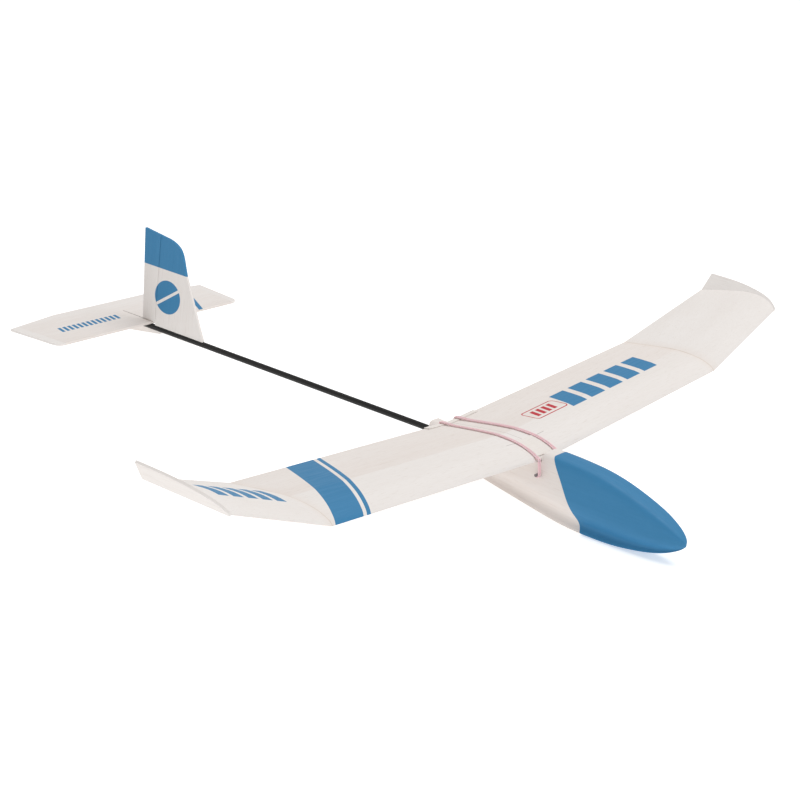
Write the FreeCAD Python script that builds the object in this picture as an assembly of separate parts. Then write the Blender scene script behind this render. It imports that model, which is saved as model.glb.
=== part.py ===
import FreeCAD, Part
import math
import os

# Balsa hand glider: solid balsa pod, carbon boom, flat tail surfaces, two-sheet wing held by rubber bands.
# Design frame: +X toward the nose, +Y toward the left wing tip, +Z up, boom axis on the X axis.
# Every shape is moved at the end so that the origin is the middle of the bounding box's floor.
V = FreeCAD.Vector

# ---- overall lengths, mm ----
NOSE_X = 303.0            # tip of the pod
TAIL_X = -322.0           # trailing edge of the stabiliser
KEEL_Z = -35.0            # lowest point of the pod
GLUE_GAP = 0.05           # clearance left for a glue line

# ---- wing ----
WING_LE_X = 171.0
ROOT_CHORD = 96.0
BREAK_CHORD = 94.0
TIP_CHORD = 77.0
BREAK_Y = 272.0
TIP_Y = 380.0
ROOT_Z = 9.6              # underside of the leading edge on the centre line
BREAK_Z = 27.0
TIP_Z = 65.0
TIP_LE_X = 170.0
SEAM = 0.42               # place of the joint between front and rear sheet, share of the chord
WINGLET_LEAN = 35.0       # degrees from upright, leaning outward
WINGLET_THICK = 2.0
DIHEDRAL = (BREAK_Z - ROOT_Z) / BREAK_Y
GUARD_HALF = 34.0         # half length of the strip along the trailing edge
GUARD_INNER = 10.5        # half width of the plate on the leading edge, between the bands
RIB_THICK = 2.0

# ---- pod and boom ----
POD_REAR_X = 60.0
SEAT_Z = 9.3
SEAT_FRONT_X = 172.6
BOOM_R = 2.6
BOOM_BORE_R = 1.7
BOOM_FRONT_X = 105.0
BOOM_REAR_X = -292.0
BALLAST_R = 5.0
BALLAST_LEN = 26.0
BALLAST_X = 262.0
BALLAST_Z = -14.0
PLUG_LEN = 6.0

# ---- band pins and rubber bands ----
PIN_R = 1.25
PIN_FIT = 0.04
PIN_HALF = 16.5
REAR_PIN_HALF = 14.5
FRONT_PIN = (173.0, 1.0)
REAR_PIN = (76.5, -2.0)
BAND_WIDE = 1.4
BAND_THICK = 0.9
BAND_REST = 0.45         # air between band and wood, so the two never share volume
BAND_SPLIT = 1.9          # distance between the two strands of one loop

# ---- tail ----
STAB_LE_X = -259.0
STAB_BOTTOM = BOOM_R + GLUE_GAP
STAB_THICK = 2.0
STAB_BREAK_Y = 63.0
STAB_TIP_TE_X = -313.5
STAB_TIP_TE_Y = 122.0
STAB_TIP_LE_Y = 117.0
STAB_CORNER = 7.5         # rounding of the leading tip corner
STAB_EDGE = 9.0           # width of the cross-grain strip at each stabiliser tip
FIN_THICK = 2.5
FIN_BASE_X = -195.0
FIN_TOP_Z = 89.5
RUDDER_SEAM_X = -255.0
RUDDER_BOTTOM = 5.4
RUDDER_SWING = 15.0
SKID_FRONT_X = -246.0
SKID_REAR_X = -291.0
SKID_REAR_Z = -11.0

# upper and lower lines of the wing section: share of chord aft, share of chord up
TOP_FRONT = [(0.0, 0.0125), (0.02, 0.035), (0.06, 0.057), (0.14, 0.083), (0.25, 0.100), (SEAM, 0.103)]
TOP_REAR = [(SEAM, 0.103), (0.59, 0.083), (0.8, 0.051), (1.0, 0.0175)]
LOW_FRONT = [(SEAM, 0.063), (0.03, 0.0)]
LOW_REAR = [(1.0, 0.004), (0.8, 0.0325), (0.59, 0.061), (SEAM, 0.081)]

KEEL_FLAT = 0.62          # flat part of the pod's underside, share of its width there
TOP_FLAT = 0.36           # flat part on top, share of the half width

# pod stations: x, top, bottom, half width
POD = [
    (POD_REAR_X, 9.0, -11.5, 6.4),
    (90.0, 11.5, -16.2, 7.8),
    (124.0, 14.5, -21.6, 9.2),
    (150.0, 16.5, -26.0, 10.0),
    (180.0, 17.6, -31.0, 10.8),
    (204.0, 16.8, -34.2, 11.1),
    (226.0, 14.6, KEEL_Z, 11.2),
    (246.0, 10.2, -34.6, 10.9),
    (264.0, 4.6, -32.6, 10.1),
    (280.0, -1.4, -29.6, 8.7),
    (291.0, -6.8, -26.2, 6.8),
    (298.5, -11.6, -22.6, 4.5),
    (302.0, -15.0, -20.0, 2.3),
]


def chord_point(line_point, station):
    y, x_le, chord, z_le = station
    return V(x_le - line_point[0] * chord, y, z_le + line_point[1] * chord)


def smooth(points):
    curve = Part.BSplineCurve()
    curve.interpolate(points)
    return curve.toShape()


def closed_wire(upper, lower, station):
    top = [chord_point(p, station) for p in upper]
    low = [chord_point(p, station) for p in lower]
    edges = [smooth(top), Part.makeLine(top[-1], low[0])]
    if len(low) > 2:
        edges.append(smooth(low))
    else:
        edges.append(Part.makeLine(low[0], low[-1]))
    edges.append(Part.makeLine(low[-1], top[0]))
    return Part.Wire(edges)


def panel(upper, lower, inner, outer):
    wires = [closed_wire(upper, lower, inner), closed_wire(upper, lower, outer)]
    return Part.makeLoft(wires, True, True)


ROOT = (0.0, WING_LE_X, ROOT_CHORD, ROOT_Z)
BREAK = (BREAK_Y, WING_LE_X, BREAK_CHORD, BREAK_Z)
TIP = (TIP_Y, TIP_LE_X, TIP_CHORD, TIP_Z)


def mix(a, b, share):
    return tuple(p + (q - p) * share for p, q in zip(a, b))


def mirrored(shape):
    return shape.mirror(V(0, 0, 0), V(0, 1, 0))


def outer_side(offset):
    """Big block on the outboard side of the winglet's outer face, pushed outward by offset."""
    block = Part.makeBox(400, 200, 400, V(-100, offset, -200))
    block.rotate(V(0, 0, 0), V(1, 0, 0), -WINGLET_LEAN)
    block.translate(V(0, TIP_Y, TIP_Z))
    return block


def wing_tip_panel():
    beyond = mix(BREAK, TIP, 1.25)
    whole_up = TOP_FRONT + TOP_REAR[1:]
    whole_low = [LOW_REAR[0], LOW_REAR[2], (0.42, 0.070), (0.2, 0.030), LOW_FRONT[1]]
    blank = panel(whole_up, whole_low, BREAK, beyond)
    return blank.cut(outer_side(-WINGLET_THICK - 0.02))


def winglet():
    """Turned-up tip plate: full height at the trailing edge, dying out at the leading edge."""
    te_x = TIP_LE_X - TIP_CHORD
    heights = [(0.0, 18.0), (0.25, 17.8), (0.46, 16.8), (0.7, 13.8), (0.89, 8.8)]
    top = [V(te_x + 2.5 * (1 - s) + s * TIP_CHORD, 0, h) for s, h in heights]
    top.append(V(TIP_LE_X - 0.4, 0, 2.4))
    base_low = -0.8
    start = V(te_x, 0, base_low)
    end = V(TIP_LE_X, 0, base_low)
    edges = [Part.makeLine(start, top[0]), smooth(top), Part.makeLine(top[-1], end)]
    edges.append(Part.makeLine(end, start))
    face = Part.Face(Part.Wire(edges))
    plate = face.extrude(V(0, -WINGLET_THICK, 0))
    plate.rotate(V(0, 0, 0), V(1, 0, 0), -WINGLET_LEAN)
    plate.translate(V(0, TIP_Y, TIP_Z))
    return plate


def break_rib():
    """Small rib glued across the hollow underside where the outer panel starts."""
    station = mix(ROOT, BREAK, 0.985)
    lines = [(0.08, 0.006), (SEAM, 0.061), (SEAM, 0.079), (0.59, 0.059), (0.8, 0.0305), (0.95, 0.009), (0.95, 0.002)]
    corners = [chord_point(p, station) for p in lines]
    rib = Part.Face(Part.makePolygon(corners + [corners[0]])).extrude(V(0, -RIB_THICK, 0))
    return rib


def wing_saddle():
    """Balsa filler between the hollow underside of the wing and the flat seat of the pod."""
    floor = SEAT_Z + GLUE_GAP
    lines = [(0.045, 0.0), (SEAM, 0.0605), (SEAM, 0.0785), (0.59, 0.0585), (0.8, 0.030), (0.95, 0.0085)]
    corners = [chord_point(p, ROOT) for p in lines]
    corners.append(V(corners[-1].x, 0, floor))
    corners.append(V(corners[0].x, 0, floor))
    face = Part.Face(Part.makePolygon(corners + [corners[0]]))
    half = 7.0
    block = face.extrude(V(0, half, 0))
    block = block.fuse(mirrored(block))
    return block.removeSplitter()


def raised(points, lift):
    """The same line moved off the surface along its own normals."""
    out = []
    for i, p in enumerate(points):
        a = points[max(i - 1, 0)]
        b = points[min(i + 1, len(points) - 1)]
        t = V(b[0] - a[0], b[1] - a[1], 0).normalize()
        out.append((p[0] + t.y * lift, p[1] - t.x * lift))
    return out


def strip_profile(points, thickness):
    """Flat strip seen from the side, lying on the outer side of a line of points in the XZ plane."""
    inner = [V(x, 0, z) for x, z in points]
    outer = [V(x, 0, z) for x, z in raised(points, thickness)]
    loop = inner + outer[::-1] + [inner[0]]
    return Part.Face(Part.makePolygon(loop))


def wing_top_line(first, last):
    """Points on the upper surface on the centre line, front to back, as (x, z)."""
    points = []
    for line in (TOP_FRONT, TOP_REAR):
        edge = smooth([chord_point(p, ROOT) for p in line])
        points += edge.discretize(Number=24)
    shares = [(WING_LE_X - p.x) / ROOT_CHORD for p in points]
    kept = [(p.x, p.z) for p, s in zip(points, shares) if first <= s <= last]
    return [p for i, p in enumerate(kept) if i == 0 or kept[i - 1][0] - p[0] > 0.2]


def sheared(shape, rise_per_y, shift_per_x=0.0, about_x=0.0):
    m = FreeCAD.Matrix()
    m.A32 = rise_per_y
    m.A21 = shift_per_x
    m.A24 = -shift_per_x * about_x
    return shape.transformGeometry(m)


def le_guard():
    """Thin plywood plate on the leading edge under the bands, folded along the centre line."""
    line = raised(wing_top_line(0.02, 0.26), 0.1)
    face = strip_profile(line, 0.7)
    half = sheared(face.extrude(V(0, GUARD_INNER, 0)), DIHEDRAL)
    return half.fuse(mirrored(half)).removeSplitter()


def te_guard():
    """Hardwood strip along the trailing edge that keeps the bands from cutting into the balsa."""
    top = ROOT_Z + 0.0175 * ROOT_CHORD
    x = WING_LE_X - ROOT_CHORD
    slope = (0.051 - 0.0175) / 0.2
    corners = [V(x - 0.6, 0, top + 0.1), V(x + 4.6, 0, top + 0.1 + slope * 5.2)]
    corners += [V(x + 4.3, 0, top + 1.6), V(x - 0.3, 0, top + 0.9)]
    face = Part.Face(Part.makePolygon(corners + [corners[0]]))
    half = sheared(face.extrude(V(0, GUARD_HALF, 0)), DIHEDRAL)
    return half.fuse(mirrored(half)).removeSplitter()


def arc_points(centre, radius, start, stop, count):
    """Points on a circle in the XZ plane, angles in degrees from +X toward +Z."""
    out = []
    for i in range(count + 1):
        a = math.radians(start + (stop - start) * i / count)
        out.append((centre[0] + radius * math.cos(a), centre[1] + radius * math.sin(a)))
    return out


def hook(centre, start, stop, across):
    """Curved end of a loop where it passes round a pin."""
    inner = arc_points(centre, PIN_R + 0.15, start, stop, 12)
    outer = arc_points(centre, PIN_R + 0.15 + BAND_THICK, start, stop, 12)
    loop = [V(x, 0, z) for x, z in inner + outer[::-1] + [inner[0]]]
    return Part.Face(Part.makePolygon(loop)).extrude(V(0, across, 0))


def rubber_band(y_front, y_rear):
    """One rubber loop lying on one half of the wing: two strands, hooked round the front and rear pins."""
    side = 1.0 if y_front > 0 else -1.0
    front_pin = (FRONT_PIN[0], FRONT_PIN[1] - DIHEDRAL * abs(y_front))
    rear_pin = (REAR_PIN[0], REAR_PIN[1] - DIHEDRAL * abs(y_rear))
    lift = BAND_THICK + BAND_REST
    over = [(x, z + lift) for x, z in wing_top_line(0.05, 0.85)]
    rear_x = WING_LE_X - ROOT_CHORD
    te_top = ROOT_Z + 0.0175 * ROOT_CHORD
    hug = PIN_R + 0.15 + BAND_THICK
    path = [(front_pin[0] + hug, front_pin[1]), (WING_LE_X + 2.9, ROOT_Z - 0.5), (WING_LE_X + 1.9, ROOT_Z + 3.6)]
    path += over
    path += [(rear_x + 5.0, te_top + 1.8 + lift), (rear_x - 0.5, te_top + 1.1 + lift), (rear_x - 1.9, te_top - 1.5)]
    path.append((rear_pin[0] - hug, rear_pin[1]))
    face = strip_profile(path, -BAND_THICK)
    strand = face.extrude(V(0, BAND_WIDE, 0))
    twin = strand.copy()
    twin.translate(V(0, BAND_SPLIT, 0))
    across = BAND_SPLIT + BAND_WIDE
    front = hook(front_pin, 15.0, -170.0, across)
    rear = hook(rear_pin, 165.0, 350.0, across)
    loop = strand.fuse([twin, front, rear])
    loop.translate(V(0, y_front - across / 2, 0))
    slant = (y_front - y_rear) / (FRONT_PIN[0] - REAR_PIN[0])
    return sheared(sheared(loop, 0.0, slant, FRONT_PIN[0]), side * DIHEDRAL)


def pod_section(station):
    """Plank with well rounded corners: flat strip above and below, bowed sides."""
    x, top, bottom, half = station
    tall = top - bottom
    low_flat = KEEL_FLAT * half
    high_flat = TOP_FLAT * half
    right = [V(x, low_flat, bottom), V(x, 0.91 * half, bottom + 0.065 * tall), V(x, half, bottom + 0.26 * tall)]
    right += [V(x, half, bottom + 0.68 * tall), V(x, 0.79 * half, bottom + 0.93 * tall), V(x, high_flat, top)]
    left = [V(p.x, -p.y, p.z) for p in reversed(right)]
    edges = []
    for points, lean in ((right, 1.0), (left, -1.0)):
        curve = Part.BSplineCurve()
        curve.interpolate(Points=points, InitialTangent=V(0, lean, 0), FinalTangent=V(0, -lean, 0))
        edges.append(curve.toShape())
    across_top = Part.makeLine(right[-1], left[0])
    across_bottom = Part.makeLine(left[-1], right[0])
    return Part.Wire([edges[0], across_top, edges[1], across_bottom])


def along_x(radius, x_from, x_to, z=0.0):
    return Part.makeCylinder(radius, x_to - x_from, V(x_from, 0, z), V(1, 0, 0))


def pin(place, half, radius):
    return Part.makeCylinder(radius, 2 * half, V(place[0], -half, place[1]), V(0, 1, 0))


def ballast_cavity(radius, first, last):
    """Upright bore that opens under the nose."""
    bottom = -40.0 if first is None else first
    return Part.makeCylinder(radius, last - bottom, V(BALLAST_X, 0, bottom), V(0, 0, 1))


def pod_blank():
    wires = [pod_section(s) for s in POD]
    wires.append(Part.Vertex(V(NOSE_X, 0, -17.6)))
    return Part.makeLoft(wires, True, False)


def pod_body():
    seat = Part.makeBox(200, 60, 60, V(SEAT_FRONT_X - 200, -30, SEAT_Z))
    body = pod_blank().cut(seat)
    body = body.cut(along_x(BOOM_R + GLUE_GAP, POD_REAR_X - 5, BOOM_FRONT_X + 0.3))
    body = body.cut(pin(FRONT_PIN, 30, PIN_R + PIN_FIT))
    body = body.cut(pin(REAR_PIN, 30, PIN_R + PIN_FIT))
    return body.cut(ballast_cavity(BALLAST_R + GLUE_GAP, None, BALLAST_Z + BALLAST_LEN / 2))


def nose_ballast():
    top = BALLAST_Z + BALLAST_LEN / 2 - 0.1
    blank = ballast_cavity(BALLAST_R, None, top)
    low = ballast_plug_top() + 0.1
    return blank.common(Part.makeBox(40, 40, 60, V(BALLAST_X - 20, -20, low)))


def ballast_plug_top():
    return -33.0 + PLUG_LEN


def ballast_plug():
    """Balsa plug that closes the bore, sanded flush with the outside of the pod."""
    top = ballast_plug_top()
    blank = ballast_cavity(BALLAST_R, None, top)
    return blank.common(pod_blank())


def boom_tube():
    tube = along_x(BOOM_R, BOOM_REAR_X, BOOM_FRONT_X)
    tube = tube.cut(along_x(BOOM_BORE_R, BOOM_REAR_X - 1, BOOM_FRONT_X + 1))
    return tube.cut(pin(REAR_PIN, 30, PIN_R + PIN_FIT))


def sheet(points, thickness, z):
    corners = [V(x, y, z) for x, y in points]
    return Part.Face(Part.makePolygon(corners + [corners[0]])).extrude(V(0, 0, thickness))


def stab_half():
    te_mid = (TAIL_X, STAB_BREAK_Y)
    te_tip = (STAB_TIP_TE_X, STAB_TIP_TE_Y)
    centre = (STAB_LE_X - STAB_CORNER, STAB_TIP_LE_Y - STAB_CORNER)
    corner = arc_points(centre, STAB_CORNER, 0.0, 84.0, 10)
    outline = [(STAB_LE_X, 0)] + corner + [te_tip, te_mid, (TAIL_X, 0)]
    return sheet(outline, STAB_THICK, STAB_BOTTOM)


def stab_inner_zone(gap):
    """Everything inboard of the tip strips, as one wide block."""
    front = STAB_TIP_LE_Y - STAB_EDGE - gap
    rear = STAB_TIP_TE_Y - STAB_EDGE - gap
    points = [(STAB_LE_X + 5, -front), (STAB_LE_X + 5, front), (TAIL_X - 5, rear), (TAIL_X - 5, -rear)]
    return sheet(points, 20, STAB_BOTTOM - 10)


def stab_blank():
    half = stab_half()
    return half.fuse(mirrored(half)).removeSplitter()


def stabiliser():
    body = stab_blank().common(stab_inner_zone(0.05))
    slot = Part.makeBox(32.0, 1.2, 10, V(-297.0, -0.6, 0))
    return body.cut(slot)


def stab_tip():
    return stab_half().cut(stab_inner_zone(0.0))


def fin_blank():
    """Whole fin outline in side view, trailing edge almost upright, top corner rounded."""
    rise = [V(-221.3, 0, 57.0), V(-226.6, 0, 72.0), V(-231.0, 0, 79.6), V(-238.0, 0, 84.0), V(-247.0, 0, 86.2)]
    top_rear = V(-275.0, 0, FIN_TOP_Z)
    base_rear = V(-270.0, 0, 0.0)
    base_front = V(FIN_BASE_X, 0, 0.0)
    edges = [Part.makeLine(base_front, rise[0]), smooth(rise), Part.makeLine(rise[-1], top_rear)]
    edges += [Part.makeLine(top_rear, base_rear), Part.makeLine(base_rear, base_front)]
    face = Part.Face(Part.Wire(edges))
    body = face.extrude(V(0, FIN_THICK, 0))
    body.translate(V(0, -FIN_THICK / 2, 0))
    return body


def fin():
    ahead = Part.makeBox(200, 20, 200, V(RUDDER_SEAM_X + 0.05, -10, -50))
    body = fin_blank().common(ahead)
    return body.cut(along_x(BOOM_R + GLUE_GAP, BOOM_REAR_X, 0))


def rudder_tab():
    """Rear strip of the fin. Its front edge is bevelled both ways so that it can swing at the scored line."""
    apex = RUDDER_SEAM_X - 0.05
    side = FIN_THICK / 2 + 0.02
    relief = side * math.tan(math.radians(RUDDER_SWING + 1.5))
    corners = [V(apex, 0, RUDDER_BOTTOM), V(apex - relief, side, RUDDER_BOTTOM), V(apex - 100, side, RUDDER_BOTTOM)]
    corners += [V(apex - 100, -side, RUDDER_BOTTOM), V(apex - relief, -side, RUDDER_BOTTOM)]
    wedge = Part.Face(Part.makePolygon(corners + [corners[0]])).extrude(V(0, 0, 200))
    return fin_blank().common(wedge)


def ventral_skid():
    """Thin balsa fin under the end of the boom that keeps the stabiliser off the ground."""
    corners = [V(SKID_FRONT_X, 0, -1.0), V(SKID_FRONT_X - 2, 0, -4.2), V(SKID_REAR_X, 0, SKID_REAR_Z)]
    corners.append(V(SKID_REAR_X, 0, -1.0))
    body = Part.Face(Part.makePolygon(corners + [corners[0]])).extrude(V(0, FIN_THICK, 0))
    body.translate(V(0, -FIN_THICK / 2, 0))
    return body.cut(along_x(BOOM_R + GLUE_GAP, BOOM_REAR_X - 5, 0))


def export(name, shape):
    shape = shape.copy()
    shape.translate(V(-(NOSE_X + TAIL_X) / 2, 0, -KEEL_Z))
    solids = shape.Solids
    if len(solids) != 1 or not shape.isValid():
        print("CHECK", name, "solids", len(solids), "valid", shape.isValid())
    solids[0].exportStep("parts/" + name + ".step")


def both_sides(name, left):
    export(name + "_left", left)
    export(name + "_right", mirrored(left))


os.makedirs("parts", exist_ok=True)
export("pod_body", pod_body())
export("nose_ballast", nose_ballast())
export("ballast_plug", ballast_plug())
export("boom_tube", boom_tube())
export("front_band_pin", pin(FRONT_PIN, PIN_HALF, PIN_R))
export("rear_band_pin", pin(REAR_PIN, REAR_PIN_HALF, PIN_R))
export("rubber_band_left", rubber_band(14.0, 9.6))
export("rubber_band_right", rubber_band(-13.6, -11.4))
both_sides("wing_front_sheet", panel(TOP_FRONT, LOW_FRONT, ROOT, BREAK))
both_sides("wing_rear_sheet", panel(TOP_REAR, LOW_REAR, ROOT, BREAK))
both_sides("wing_tip_panel", wing_tip_panel())
both_sides("winglet", winglet())
both_sides("break_rib", break_rib())
export("wing_saddle", wing_saddle())
export("leading_edge_guard", le_guard())
export("trailing_edge_guard", te_guard())
export("stabiliser", stabiliser())
both_sides("stab_tip", stab_tip())
export("fin", fin())
export("rudder_tab", rudder_tab())
export("ventral_skid", ventral_skid())
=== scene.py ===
import math

import bpy
from mathutils import Matrix, Vector


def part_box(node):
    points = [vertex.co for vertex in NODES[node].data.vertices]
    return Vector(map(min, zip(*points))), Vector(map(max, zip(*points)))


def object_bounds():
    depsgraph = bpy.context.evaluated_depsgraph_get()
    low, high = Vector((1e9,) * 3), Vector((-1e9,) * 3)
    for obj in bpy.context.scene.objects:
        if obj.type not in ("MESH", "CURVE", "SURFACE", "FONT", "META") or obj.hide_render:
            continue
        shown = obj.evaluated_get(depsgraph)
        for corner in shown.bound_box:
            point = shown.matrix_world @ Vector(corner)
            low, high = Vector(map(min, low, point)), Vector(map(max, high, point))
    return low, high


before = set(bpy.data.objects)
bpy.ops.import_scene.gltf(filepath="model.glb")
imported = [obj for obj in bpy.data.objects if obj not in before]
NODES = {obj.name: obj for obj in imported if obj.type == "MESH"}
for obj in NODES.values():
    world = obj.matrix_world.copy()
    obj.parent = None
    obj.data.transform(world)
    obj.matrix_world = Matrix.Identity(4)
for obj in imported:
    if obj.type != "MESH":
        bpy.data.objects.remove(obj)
CAD_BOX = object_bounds()
MM = 0.001

# ---- places read from the frame, in metres ----
FRONT_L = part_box("wing_front_sheet_left")
REAR_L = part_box("wing_rear_sheet_left")
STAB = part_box("stabiliser")
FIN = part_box("fin")
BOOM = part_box("boom_tube")
LE = FRONT_L[1][0]
TE = REAR_L[0][0]
CHORD = LE - TE
BREAK = FRONT_L[1][1]
BOOM_Z = (BOOM[0][2] + BOOM[1][2]) / 2

# ---- paint scheme, all worked out from those places ----
SLANT = 0.625                     # how far a stripe runs sideways for each unit along the body
STRIPE_WIDE = 31.5 * MM
STRIPE_GAP = 3.8 * MM
STRIPE_THIN = 4.5 * MM
STRIPE_OUTER = BREAK - SLANT * CHORD - 3.4 * MM
PAINT_EDGE = 0.25 * MM

BLUE = (0.043, 0.222, 0.432)
RED = (0.55, 0.035, 0.05)
PENCIL = (0.30, 0.27, 0.25)


class Graph:
    """Short-hand for building one material's nodes."""

    def __init__(self, name):
        self.mat = bpy.data.materials.new(name)
        self.mat.use_nodes = True
        self.tree = self.mat.node_tree
        self.tree.nodes.clear()
        self.out = self.tree.nodes.new("ShaderNodeOutputMaterial")
        self.bsdf = self.tree.nodes.new("ShaderNodeBsdfPrincipled")
        self.tree.links.new(self.bsdf.outputs[0], self.out.inputs[0])
        coords = self.tree.nodes.new("ShaderNodeTexCoord")
        self.place = coords.outputs["Object"]
        facing = self.tree.nodes.new("ShaderNodeSeparateXYZ")
        self.link(coords.outputs["Normal"], facing.inputs[0])
        self.facing_up = facing.outputs[2]
        split = self.tree.nodes.new("ShaderNodeSeparateXYZ")
        self.link(self.place, split.inputs[0])
        self.x, self.y, self.z = split.outputs

    def link(self, source, socket):
        if isinstance(source, (int, float)):
            socket.default_value = source
        elif isinstance(source, tuple):
            socket.default_value = source + (1.0,) if len(source) == 3 else source
        else:
            self.tree.links.new(source, socket)

    def math(self, op, a, b=0.0, c=None, clamp=False):
        node = self.tree.nodes.new("ShaderNodeMath")
        node.operation = op
        node.use_clamp = clamp
        self.link(a, node.inputs[0])
        self.link(b, node.inputs[1])
        if c is not None:
            self.link(c, node.inputs[2])
        return node.outputs[0]

    def above(self, value, edge, soft=PAINT_EDGE):
        return self.math("MULTIPLY_ADD", value, 1.0 / soft, 0.5 - edge / soft, clamp=True)

    def below(self, value, edge, soft=PAINT_EDGE):
        return self.math("MULTIPLY_ADD", value, -1.0 / soft, 0.5 + edge / soft, clamp=True)

    def within(self, value, low, high, soft=PAINT_EDGE):
        return self.both(self.above(value, low, soft), self.below(value, high, soft))

    def both(self, a, b):
        return self.math("MULTIPLY", a, b)

    def either(self, a, b):
        return self.math("MAXIMUM", a, b)

    def sloped(self, a, b, factor):
        """a + factor * b"""
        return self.math("MULTIPLY_ADD", b, factor, a)

    def noise(self, scale, detail=2.0, rough=0.5, shift=0.0):
        mapping = self.tree.nodes.new("ShaderNodeMapping")
        mapping.inputs["Scale"].default_value = scale
        mapping.inputs["Location"].default_value = (shift, shift * 0.7, -shift)
        self.link(self.place, mapping.inputs["Vector"])
        node = self.tree.nodes.new("ShaderNodeTexNoise")
        node.inputs["Scale"].default_value = 1.0
        node.inputs["Detail"].default_value = detail
        node.inputs["Roughness"].default_value = rough
        self.link(mapping.outputs[0], node.inputs["Vector"])
        return node.outputs[0]

    def span(self, value, low, high, to_low=0.0, to_high=1.0):
        node = self.tree.nodes.new("ShaderNodeMapRange")
        for socket, number in zip(node.inputs, (value, low, high, to_low, to_high)):
            self.link(number, socket)
        return node.outputs[0]

    def mix(self, share, a, b, kind="MIX"):
        node = self.tree.nodes.new("ShaderNodeMix")
        node.data_type = "RGBA"
        node.blend_type = kind
        self.link(share, node.inputs[0])
        self.link(a, node.inputs[6])
        self.link(b, node.inputs[7])
        return node.outputs[2]

    def bump(self, height, depth, strength=1.0):
        node = self.tree.nodes.new("ShaderNodeBump")
        node.inputs["Strength"].default_value = strength
        node.inputs["Distance"].default_value = depth
        self.link(height, node.inputs["Height"])
        self.link(node.outputs[0], self.bsdf.inputs["Normal"])

    def finish(self, colour, rough, specular=0.3):
        self.link(colour, self.bsdf.inputs["Base Color"])
        self.link(rough, self.bsdf.inputs["Roughness"])
        self.bsdf.inputs["Specular IOR Level"].default_value = specular
        return self.mat


def grain_scale(axis, across, along):
    return tuple(along if i == "XYZ".index(axis) else across for i in range(3))


FLECK = 0.22                      # how strongly the pores show
REAR_FLECK = 0.28


def balsa(name, light, dark, axis, marks=(), shift=0.0, fleck=FLECK):
    """Sanded balsa: board tone, fine streaks, short dark vessel flecks. marks paint over it."""
    g = Graph(name)
    board = g.noise(grain_scale(axis, 32.0, 1.6), 3.0, 0.55, shift)
    streak = g.noise(grain_scale(axis, 420.0, 9.0), 4.0, 0.6, shift + 3.1)
    pores = g.noise(grain_scale(axis, 1500.0, 70.0), 1.0, 0.5, shift + 7.7)
    tone = g.math("ADD", g.span(board, 0.32, 0.68, 0.0, 0.62), g.span(streak, 0.25, 0.75, 0.0, 0.38))
    wood = g.mix(tone, light, dark)
    specks = g.span(pores, 0.60, 0.74, 0.0, fleck)
    deep = tuple(c * k for c, k in zip(dark, (0.74, 0.68, 0.62)))
    colour = g.mix(specks, wood, deep)
    painted = None
    for make, paint, strength in marks:
        mask = make(g)
        if strength < 1.0:
            mask = g.math("MULTIPLY", mask, strength)
        else:
            painted = mask if painted is None else g.either(painted, mask)
        shade = g.mix(g.span(streak, 0.3, 0.7, 0.0, 0.16), paint, tuple(c * 0.72 for c in paint))
        colour = g.mix(mask, colour, shade)
    rough = g.span(streak, 0.3, 0.7, 0.66, 0.80)
    if painted is not None:
        rough = g.math("MULTIPLY_ADD", painted, -0.22, rough)
    relief = g.math("MULTIPLY_ADD", pores, 0.5, streak)
    g.bump(relief, 0.00012, 0.55)
    return g.finish(colour, rough, 0.28)


# ---- masks: each takes the graph and gives 0 to 1 ----
def wing_stripes(g):
    line = g.sloped(g.y, g.math("ADD", g.x, -TE), SLANT)
    wide = g.within(line, -STRIPE_OUTER, -STRIPE_OUTER + STRIPE_WIDE)
    start = -STRIPE_OUTER + STRIPE_WIDE + STRIPE_GAP
    return g.either(wide, g.within(line, start, start + STRIPE_THIN))


def slanted_bars(y_from, y_to, x_from, x_to, count, fill=0.62, lean=SLANT):
    """A row of plain slanted bars."""
    def mask(g):
        line = g.sloped(g.y, g.math("ADD", g.x, -x_from), lean)
        period = (y_to - y_from) / count
        turn = g.math("FRACT", g.math("MULTIPLY_ADD", line, 1.0 / period, -y_from / period))
        bars = g.within(turn, 0.5 - fill / 2, 0.5 + fill / 2, PAINT_EDGE / period)
        inside = g.both(g.within(g.x, x_from, x_to), g.within(line, y_from, y_to))
        return g.both(bars, inside)
    return mask


def rounded_frame(cx, cy, half_x, half_y, corner, line):
    """Outline of a rounded box in plan."""
    def mask(g):
        parts = []
        for value, centre, half in ((g.x, cx, half_x), (g.y, cy, half_y)):
            off = g.math("ABSOLUTE", g.math("SUBTRACT", value, centre))
            parts.append(g.math("MAXIMUM", g.math("SUBTRACT", off, half - corner), 0.0))
        squares = [g.math("MULTIPLY", p, p) for p in parts]
        reach = g.math("SQRT", g.math("ADD", *squares))
        return g.within(reach, corner - line, corner)
    return mask


def beyond_plane(x0, z0, lean):
    """In front of a plane that leans forward toward the keel."""
    def mask(g):
        line = g.sloped(g.x, g.z, lean)
        return g.above(line, x0 + lean * z0)
    return mask


def on_top(make):
    """The same mark, kept to the upper side of a plate."""
    return lambda g: g.both(make(g), g.above(g.facing_up, 0.05, 0.1))


def above_z(z0):
    return lambda g: g.above(g.z, z0)


def split_disc(cx, cz, radius, gap):
    """Plain disc on the fin, split by one slanted gap."""
    def mask(g):
        dx = g.math("SUBTRACT", g.x, cx)
        dz = g.math("SUBTRACT", g.z, cz)
        reach = g.math("SQRT", g.math("ADD", g.math("MULTIPLY", dx, dx), g.math("MULTIPLY", dz, dz)))
        disc = g.below(reach, radius)
        cut = g.math("ABSOLUTE", g.sloped(dz, dx, -0.7))
        return g.both(disc, g.above(cut, gap))
    return mask


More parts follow.
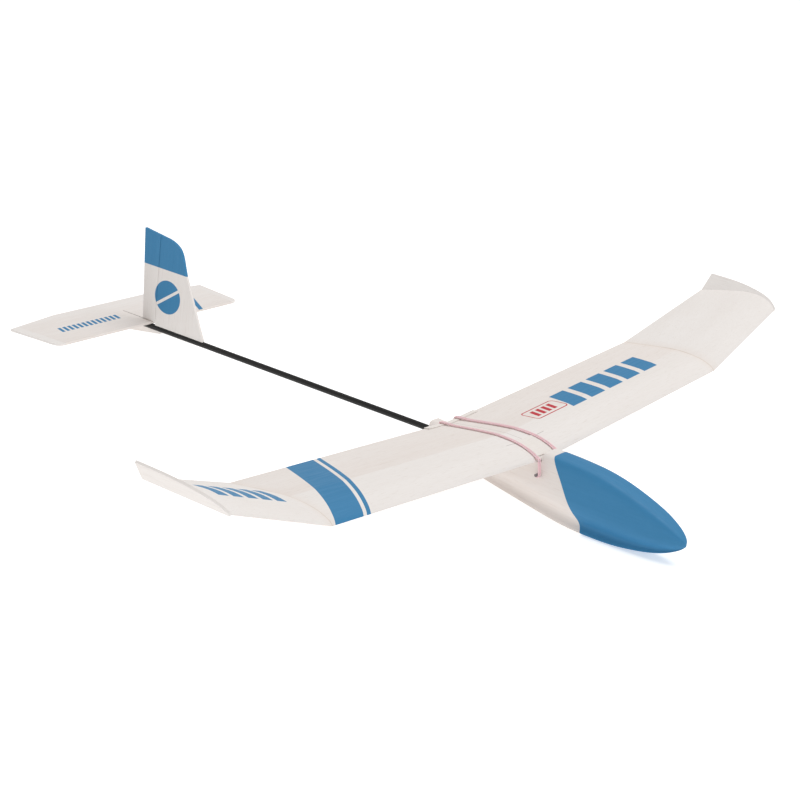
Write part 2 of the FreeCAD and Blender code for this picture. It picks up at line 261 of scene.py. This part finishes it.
def joint_line(value_name, at, half, soft=0.5 * MM):
    """Glue line across a plate where one coordinate, taken either side of the middle, passes a value."""
    def mask(g):
        value = g.math("ABSOLUTE", getattr(g, value_name))
        return g.within(value, at - half, at + half, soft)
    return mask


def balance_mark(g):
    across = g.within(g.x, LE - 22.3 * MM, LE - 21.8 * MM, 0.2 * MM)
    return g.both(across, g.below(g.math("ABSOLUTE", g.y), 27 * MM))


def stab_stripe(g):
    line = g.sloped(g.y, g.math("ADD", g.x, -STAB[1][0]), SLANT)
    return g.within(line, 62.0 * MM, 67.4 * MM)


GLUE = (0.62, 0.52, 0.42)
SAND = (0.80, 0.70, 0.63)
wing_joints = [
    (joint_line("y", BREAK, 0.35 * MM, 0.4 * MM), GLUE, 0.75),
    (joint_line("y", BREAK, 5.0 * MM, 9.0 * MM), SAND, 0.30),
]
centre_joint = (joint_line("y", 0.0, 0.25 * MM, 0.3 * MM), PENCIL, 0.55)
mark = (on_top(balance_mark), PENCIL, 0.6)

BAR_LEAN = 0.25                   # the generic bars lean less than the stripes
BADGE_X = LE - 47 * MM
BADGE_Y = 66 * MM
BADGE_HALF_X = 9.5 * MM
BADGE_HALF_Y = 23 * MM
BADGE_CORNER = 4 * MM
BADGE_LINE = 1.1 * MM
badge_frame = rounded_frame(BADGE_X, BADGE_Y, BADGE_HALF_X, BADGE_HALF_Y, BADGE_CORNER, BADGE_LINE)
BADGE_REACH = 16 * MM
badge_bars = slanted_bars(BADGE_Y - BADGE_REACH, BADGE_Y + BADGE_REACH,
                          LE - 52.5 * MM, LE - 41.5 * MM, 4, 0.6, BAR_LEAN)
badge = [(on_top(badge_frame), RED, 1.0), (on_top(badge_bars), RED, 1.0)]
panel_bars = slanted_bars(92 * MM, 236 * MM, LE - 62 * MM, LE - 33 * MM, 5, 0.74, BAR_LEAN)

LIGHT = (0.850, 0.812, 0.785)
FRONT_DARK = (0.805, 0.757, 0.722)
REAR_LIGHT = (0.835, 0.785, 0.750)
REAR_DARK = (0.780, 0.710, 0.665)

left_marks = wing_joints + [centre_joint, mark, (on_top(panel_bars), BLUE, 1.0)] + badge
right_marks = wing_joints + [centre_joint, mark, (on_top(wing_stripes), BLUE, 1.0)]
tip_bars = slanted_bars(-BREAK - 88 * MM, -BREAK - 12 * MM, LE - 54 * MM, LE - 24 * MM, 5, 0.7, BAR_LEAN)
right_tip_marks = wing_joints + [(on_top(tip_bars), BLUE, 1.0)]
STAB_TE = STAB[0][0]
stab_bars = slanted_bars(-88 * MM, -14 * MM, STAB_TE + 30 * MM, STAB_TE + 40 * MM, 13, 0.6, BAR_LEAN)

stab_marks = [(on_top(stab_stripe), BLUE, 1.0), (on_top(stab_bars), BLUE, 1.0)]

FIN_PAINT_Z = BOOM_Z + 57.1 * MM
fin_marks = [
    (above_z(FIN_PAINT_Z), BLUE, 1.0),
    (split_disc(FIN[1][0] - 46 * MM, BOOM_Z + 32.2 * MM, 15.5 * MM, 1.6 * MM), BLUE, 1.0),
]
nose_paint = (beyond_plane(LE + 10.5 * MM, BOOM_Z + 17.5 * MM, 0.70), BLUE, 1.0)

MATERIALS = {
    "wing_front_sheet_left": balsa("balsa_front_left", LIGHT, FRONT_DARK, "Y", left_marks, 0.0),
    "wing_front_sheet_right": balsa("balsa_front_right", LIGHT, FRONT_DARK, "Y", right_marks, 5.0),
    "wing_rear_sheet_left": balsa("balsa_rear_left", REAR_LIGHT, REAR_DARK, "Y", left_marks, 9.0, REAR_FLECK),
    "wing_rear_sheet_right": balsa("balsa_rear_right", REAR_LIGHT, REAR_DARK, "Y",
                                   right_marks, 14.0, REAR_FLECK),
    "wing_tip_panel_left": balsa("balsa_tip_left", LIGHT, FRONT_DARK, "Y", wing_joints, 21.0),
    "wing_tip_panel_right": balsa("balsa_tip_right", LIGHT, FRONT_DARK, "Y", right_tip_marks, 26.0),
    "stabiliser": balsa("balsa_stab", LIGHT, REAR_DARK, "Y", stab_marks, 31.0),
    "fin": balsa("balsa_fin", LIGHT, FRONT_DARK, "Z", fin_marks, 37.0),
    "rudder_tab": balsa("balsa_rudder", LIGHT, FRONT_DARK, "Z", fin_marks, 37.0),
    "pod_body": balsa("balsa_pod", LIGHT, REAR_DARK, "X", [nose_paint], 43.0),
    "ballast_plug": balsa("balsa_plug", LIGHT, REAR_DARK, "X", [nose_paint], 43.0),
}
plain_upright = balsa("balsa_plate", LIGHT, FRONT_DARK, "X", (), 51.0)
plain_block = balsa("balsa_block", REAR_LIGHT, REAR_DARK, "X", (), 57.0)
plywood = balsa("birch_ply", (0.845, 0.802, 0.765), (0.795, 0.738, 0.690), "Y", (), 63.0, 0.2)
for side in ("left", "right"):
    MATERIALS["winglet_" + side] = plain_upright
    MATERIALS["stab_tip_" + side] = plain_upright
    MATERIALS["break_rib_" + side] = plain_block
MATERIALS["ventral_skid"] = plain_upright
MATERIALS["wing_saddle"] = plain_block
MATERIALS["leading_edge_guard"] = plywood
MATERIALS["trailing_edge_guard"] = plywood


def carbon():
    """Pultruded carbon tube: near black, faint lengthwise fibres, satin."""
    g = Graph("carbon_tube")
    fibre = g.noise((12.0, 2600.0, 2600.0), 3.0, 0.6)
    patch = g.noise((30.0, 60.0, 60.0), 2.0, 0.5, 4.0)
    colour = g.mix(g.span(fibre, 0.35, 0.7), (0.007, 0.007, 0.007), (0.026, 0.025, 0.024))
    rough = g.math("ADD", g.span(fibre, 0.3, 0.7, 0.40, 0.52), g.span(patch, 0.3, 0.7, 0.0, 0.08))
    g.bump(fibre, 0.00004, 0.5)
    return g.finish(colour, rough, 0.28)


def rubber():
    """Dusty pink natural rubber with talc on it."""
    g = Graph("rubber_pink")
    dust = g.noise((900.0, 900.0, 900.0), 3.0, 0.6)
    stretch = g.noise((60.0, 500.0, 500.0), 2.0, 0.5, 2.0)
    base = g.mix(g.span(stretch, 0.3, 0.7), (0.88, 0.610, 0.640), (0.82, 0.545, 0.580))
    colour = g.mix(g.span(dust, 0.5, 0.8, 0.0, 0.5), base, (0.90, 0.77, 0.77))
    g.bump(dust, 0.00005, 0.4)
    rough = g.span(dust, 0.3, 0.7, 0.55, 0.75)
    g.bsdf.inputs["Subsurface Weight"].default_value = 0.15
    g.bsdf.inputs["Subsurface Radius"].default_value = (0.002, 0.001, 0.001)
    return g.finish(colour, rough, 0.35)


def dowel():
    g = Graph("dowel_grey")
    grain = g.noise((1200.0, 40.0, 1200.0), 3.0, 0.6)
    colour = g.mix(g.span(grain, 0.3, 0.7), (0.20, 0.19, 0.19), (0.11, 0.10, 0.10))
    g.bump(grain, 0.00004, 0.5)
    return g.finish(colour, g.span(grain, 0.3, 0.7, 0.5, 0.65), 0.4)


def lead():
    g = Graph("lead_grey")
    cast = g.noise((500.0, 500.0, 500.0), 4.0, 0.6)
    colour = g.mix(g.span(cast, 0.3, 0.7), (0.16, 0.16, 0.17), (0.26, 0.26, 0.27))
    g.bsdf.inputs["Metallic"].default_value = 0.8
    g.bump(cast, 0.0001, 0.5)
    return g.finish(colour, g.span(cast, 0.3, 0.7, 0.45, 0.65), 0.5)


MATERIALS["boom_tube"] = carbon()
MATERIALS["nose_ballast"] = lead()
for end in ("front", "rear"):
    MATERIALS[end + "_band_pin"] = dowel()
for side in ("left", "right"):
    MATERIALS["rubber_band_" + side] = rubber()

for name, material in MATERIALS.items():
    mesh = NODES[name].data
    mesh.materials.clear()
    mesh.materials.append(material)

# ---- floor ----
FLOOR_HALF = 30.0
FLOOR_GAP = 0.5 * MM
floor_mesh = bpy.data.meshes.new("floor")
corners = [(-FLOOR_HALF, -FLOOR_HALF, 0), (FLOOR_HALF, -FLOOR_HALF, 0),
           (FLOOR_HALF, FLOOR_HALF, 0), (-FLOOR_HALF, FLOOR_HALF, 0)]
floor_mesh.from_pydata(corners, [], [(0, 1, 2, 3)])
floor = bpy.data.objects.new("floor", floor_mesh)
floor.location.z = CAD_BOX[0][2] - FLOOR_GAP
bpy.context.scene.collection.objects.link(floor)
ground = Graph("pale_floor")
haze = ground.noise((3.0, 3.0, 3.0), 2.0)
tint = ground.mix(haze, (0.78, 0.78, 0.78), (0.80, 0.80, 0.80))
ground.bsdf.inputs["Emission Color"].default_value = (1.0, 1.0, 1.0, 1.0)
ground.bsdf.inputs["Emission Strength"].default_value = 0.52
floor_mesh.materials.append(ground.finish(tint, 0.95, 0.0))

# ---- light: bright even sky and one broad lamp, nearly overhead ----
scene = bpy.context.scene
world = bpy.data.worlds.new("sky")
world.use_nodes = True
world.node_tree.nodes["Background"].inputs[0].default_value = (1.0, 1.0, 1.0, 1.0)
world.node_tree.nodes["Background"].inputs[1].default_value = 0.50
scene.world = world
scene.view_settings.view_transform = "Standard"
scene.view_settings.look = "None"


def area_light(name, place, target, size, watts):
    data = bpy.data.lights.new(name, "AREA")
    data.size = size
    data.energy = watts
    lamp = bpy.data.objects.new(name, data)
    lamp.location = place
    lamp.rotation_euler = (Vector(target) - Vector(place)).to_track_quat("-Z", "Y").to_euler()
    scene.collection.objects.link(lamp)


area_light("key", (0.5, 0.55, 3.0), (0, 0, 0.05), 2.8, 60.0)

# ---- camera: long lens, front right quarter, a little above ----
AZIMUTH = math.radians(-55.06)
ELEVATION = math.radians(19.59)
ROLL = math.radians(6.77)
DISTANCE = 1.656
LENS = 87.3
AIM = Vector((0.0095, 0.0346, 0.035))

level = math.cos(ELEVATION)
back = Vector((level * math.cos(AZIMUTH), level * math.sin(AZIMUTH), math.sin(ELEVATION)))
right = Vector((0, 0, 1)).cross(back).normalized()
up = back.cross(right)
turned_right = right * math.cos(ROLL) + up * math.sin(ROLL)
turned_up = up * math.cos(ROLL) - right * math.sin(ROLL)
axes = Matrix((turned_right, turned_up, back)).transposed()
camera_data = bpy.data.cameras.new("camera")
camera_data.lens = LENS
camera_data.sensor_width = 36.0
camera_data.clip_end = 100.0
camera = bpy.data.objects.new("camera", camera_data)
camera.matrix_world = Matrix.Translation(AIM + back * DISTANCE) @ axes.to_4x4()
scene.collection.objects.link(camera)
scene.camera = camera
